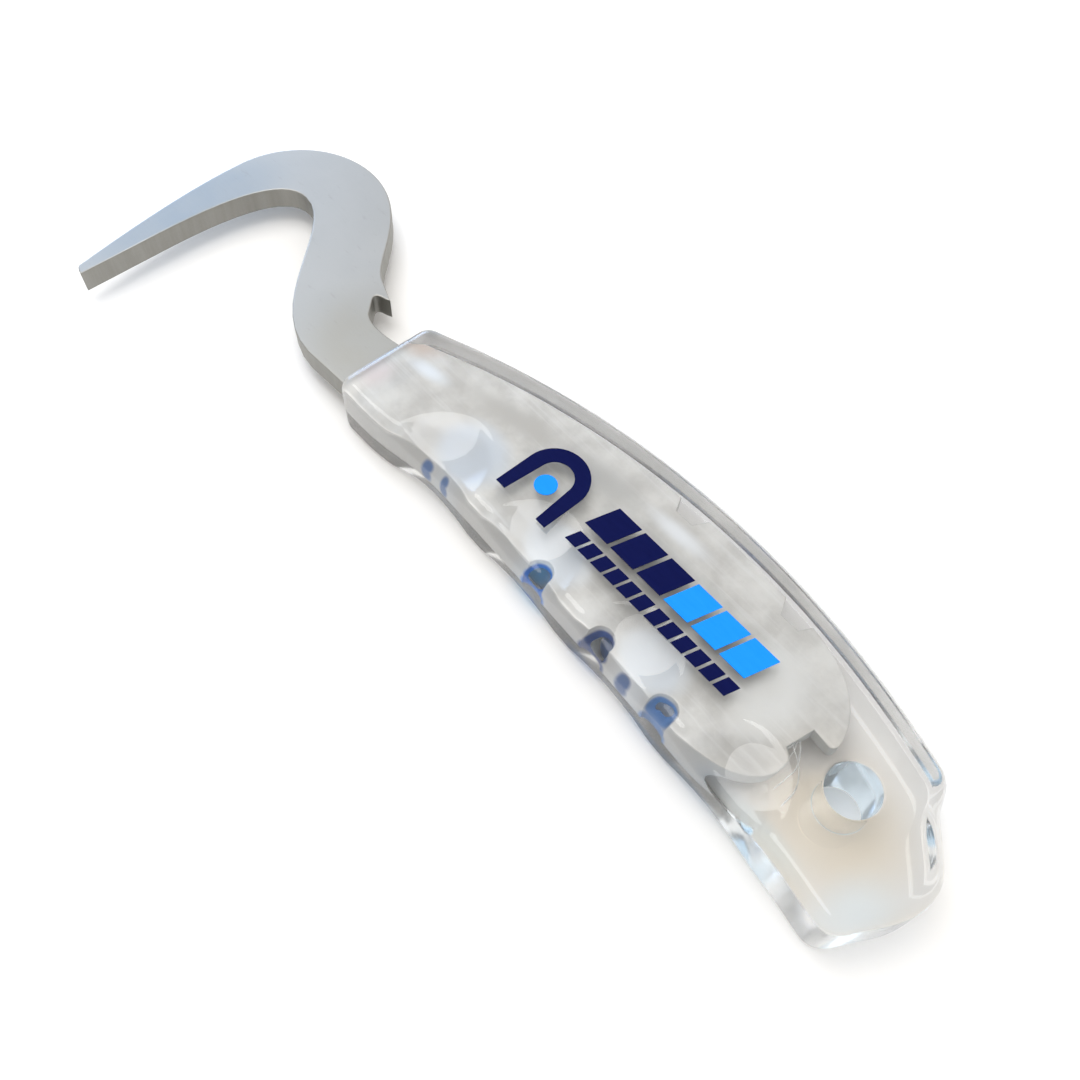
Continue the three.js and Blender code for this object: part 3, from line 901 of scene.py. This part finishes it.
def holeCutter():
    middle = onTool(*handle["holePlace"])
    radius = handle["holeRadius"] * mm
    turns = handle["holeTurns"]
    mouth = roundedEdge(handle["holeMouth"] * mm, handle["holeMouthSteps"])
    over = 1 * mm  # how far the cutter stands past each face
    profile = [(radius + mouth[0][0], handleHigh.z + over)]
    profile += [(radius + inset, handleHigh.z - height) for inset, height in mouth]
    profile.append((radius, handleLow.z - over))
    verts = []
    for r, z in profile:
        for i in range(turns):
            a = 2 * math.pi * i / turns
            verts.append((middle.x + r * math.cos(a), middle.y + r * math.sin(a), z))
    faces = bands(len(profile), turns, rising=False)
    top = (len(profile) - 1) * turns
    faces.append(tuple(range(turns)))
    faces.append(tuple(range(top, top + turns))[::-1])
    return newPiece("hole cutter", verts, faces, plasticMaterial)


def pocketCutter():
    bite = handle["bite"] * mm
    ring = plateOutline()
    ring = ring - outward(ring) * bite
    edge = handle["pocketEdge"] * mm
    verts, faces = plateFrom(ring, steelLow.z + bite, steelHigh.z - bite, edge, 1)
    return newPiece("pocket cutter", verts, faces, plasticMaterial)


def makeHandle():
    piece = handleShell()
    pressScoops(piece)
    cutFrom(piece, holeCutter())
    cutFrom(piece, pocketCutter())
    piece.data.set_sharp_from_angle(angle=sharpAngle)
    return piece


grip = makeHandle()
print("stage: clear handle")


# faint pale threads in the moulding, where two streams of plastic met
threads = {
    "count": 7,
    "seed": 7,
    "root": (91.6, 3.0, 6.6),  # mm, behind the tang's rear slot
    "rootSpread": 2.6,
    "length": 8.0,
    "bend": 2.4,
    "radius": 0.08,
    "turns": (-125.0, -50.0),  # degrees between which they fan out
    "scales": (0.6, 1.15),
    "curveSteps": 16,
    "sideCount": 6,
}


def threadTree():
    inputs = {
        "Count": "Int",
        "Seed": "Int",
        "Root": "Vector",
        "Root Spread": "Float",
        "Length": "Float",
        "Bend": "Float",
        "Radius": "Float",
        "First Turn": "Float",
        "Last Turn": "Float",
        "Least Scale": "Float",
        "Most Scale": "Float",
        "Curve Steps": "Int",
        "Sides": "Int",
    }
    tree, size, sink = newTree("flow threads", inputs)
    arc = addNode(tree, "GeometryNodeCurveQuadraticBezier")
    feed(tree, arc.inputs["Resolution"], size["Curve Steps"])
    arc.inputs["Start"].default_value = (0, 0, 0)
    halfway = calculate(tree, "MULTIPLY", size["Length"], 0.5)
    feed(tree, arc.inputs["Middle"], joined(tree, halfway, size["Bend"]))
    feed(tree, arc.inputs["End"], joined(tree, size["Length"]))
    section = addNode(tree, "GeometryNodeCurvePrimitiveCircle")
    feed(tree, section.inputs["Resolution"], size["Sides"])
    feed(tree, section.inputs["Radius"], size["Radius"])
    tube = addNode(tree, "GeometryNodeCurveToMesh")
    tube.inputs["Fill Caps"].default_value = True
    feed(tree, tube.inputs["Curve"], arc.outputs[0])
    feed(tree, tube.inputs["Profile Curve"], section.outputs[0])
    gap = calculate(tree, "DIVIDE", size["Root Spread"], size["Count"])
    step = joined(tree, y=calculate(tree, "MULTIPLY", gap, -1.0))
    turn = addNode(tree, "FunctionNodeRandomValue", data_type="FLOAT")
    feed(tree, turn.inputs[2], size["First Turn"])
    feed(tree, turn.inputs[3], size["Last Turn"])
    feed(tree, turn.inputs["Seed"], size["Seed"])
    scale = addNode(tree, "FunctionNodeRandomValue", data_type="FLOAT")
    feed(tree, scale.inputs[2], size["Least Scale"])
    feed(tree, scale.inputs[3], size["Most Scale"])
    feed(tree, scale.inputs["Seed"], size["Seed"])
    spread = addNode(tree, "GeometryNodeInstanceOnPoints")
    feed(tree, spread.inputs["Points"], pointRow(tree, size["Count"], size["Root"], step))
    feed(tree, spread.inputs["Instance"], tube.outputs[0])
    feed(tree, spread.inputs["Rotation"], joined(tree, z=turn.outputs[1]))
    feed(tree, spread.inputs["Scale"], scale.outputs[1])
    return endTree(tree, spread.outputs[0], size["Material"], sink)


def makeThreads():
    piece = newPiece("flow_threads", [(0, 0, 0)], [], threadMaterial)
    firstTurn, lastTurn = threads["turns"]
    leastScale, mostScale = threads["scales"]
    values = {
        "Count": threads["count"],
        "Seed": threads["seed"],
        "Root": onTool(*threads["root"]),
        "Root Spread": threads["rootSpread"] * mm,
        "Length": threads["length"] * mm,
        "Bend": threads["bend"] * mm,
        "Radius": threads["radius"] * mm,
        "First Turn": math.radians(firstTurn),
        "Last Turn": math.radians(lastTurn),
        "Least Scale": leastScale,
        "Most Scale": mostScale,
        "Curve Steps": threads["curveSteps"],
        "Sides": threads["sideCount"],
        "Material": threadMaterial,
    }
    applyTree(piece, threadTree(), values)
    return piece


flowThreads = makeThreads()
print("stage: flow threads")


ink = {
    "barBlocks": 3,
    "lineBlocks": 6,
    "barGap": 0.75,  # mm between blocks
    "lineGap": 0.55,
    "slant": 1.6 / 5.8,  # sideways lean for each unit of height
}


# a row of slanted blocks of ink
def blockTree():
    inputs = {"Count": "Int", "Pitch": "Float", "Block": "Vector", "Slant": "Float", "First": "Vector"}
    tree, size, sink = newTree("ink blocks", inputs)
    block = addNode(tree, "GeometryNodeMeshCube")
    feed(tree, block.inputs["Size"], size["Block"])
    position = addNode(tree, "GeometryNodeInputPosition")
    height = splitOf(tree, position.outputs[0])["Y"]
    shear = addNode(tree, "GeometryNodeSetPosition")
    feed(tree, shear.inputs["Geometry"], block.outputs["Mesh"])
    feed(tree, shear.inputs["Offset"], joined(tree, calculate(tree, "MULTIPLY", height, size["Slant"])))
    step = joined(tree, size["Pitch"])
    spread = addNode(tree, "GeometryNodeInstanceOnPoints")
    feed(tree, spread.inputs["Points"], pointRow(tree, size["Count"], size["First"], step))
    feed(tree, spread.inputs["Instance"], shear.outputs[0])
    return endTree(tree, spread.outputs[0], size["Material"], sink)


def makeBlocks(name, node, tree, count, gap, material):
    low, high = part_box(node)
    lean = ink["slant"] * (high.y - low.y)
    pitch = (high.x - low.x - lean + gap) / count
    width = pitch - gap
    middle = (low + high) / 2
    piece = newPiece(name, [(0, 0, 0)], [], material, smooth=False)
    values = {
        "Count": count,
        "Pitch": pitch,
        "Block": Vector((width, high.y - low.y, high.z - low.z)),
        "Slant": ink["slant"],
        "First": Vector((low.x + (width + lean) / 2, middle.y, middle.z)),
        "Material": material,
    }
    applyTree(piece, tree, values)
    return piece


blocks = blockTree()
printed = []
for end, barMaterial in (("front", navyMaterial), ("rear", skyMaterial)):
    for kind, count, gap, material in (
        ("bar", ink["barBlocks"], ink["barGap"] * mm, barMaterial),
        ("line", ink["lineBlocks"], ink["lineGap"] * mm, navyMaterial),
    ):
        node = f"mark_{kind}_{end}"
        slot = "sky_ink" if material is skyMaterial else "navy_ink"
        printed.append((makeBlocks(f"ink_{kind}_{end}", node, blocks, count, gap, material), node, slot))
for node, material in (("mark_shoe", navyMaterial), ("mark_dot", skyMaterial)):
    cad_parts[node].data.materials.clear()
    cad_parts[node].data.materials.append(material)
print("stage: printed marks")


standIns = [(hook, "hook_and_tang", "hook_steel"), (grip, "clear_handle", "clear_plastic")]
for piece, node, slot in standIns + printed:
    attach(piece, "root")
    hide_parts(node)
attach(flowThreads, "root")
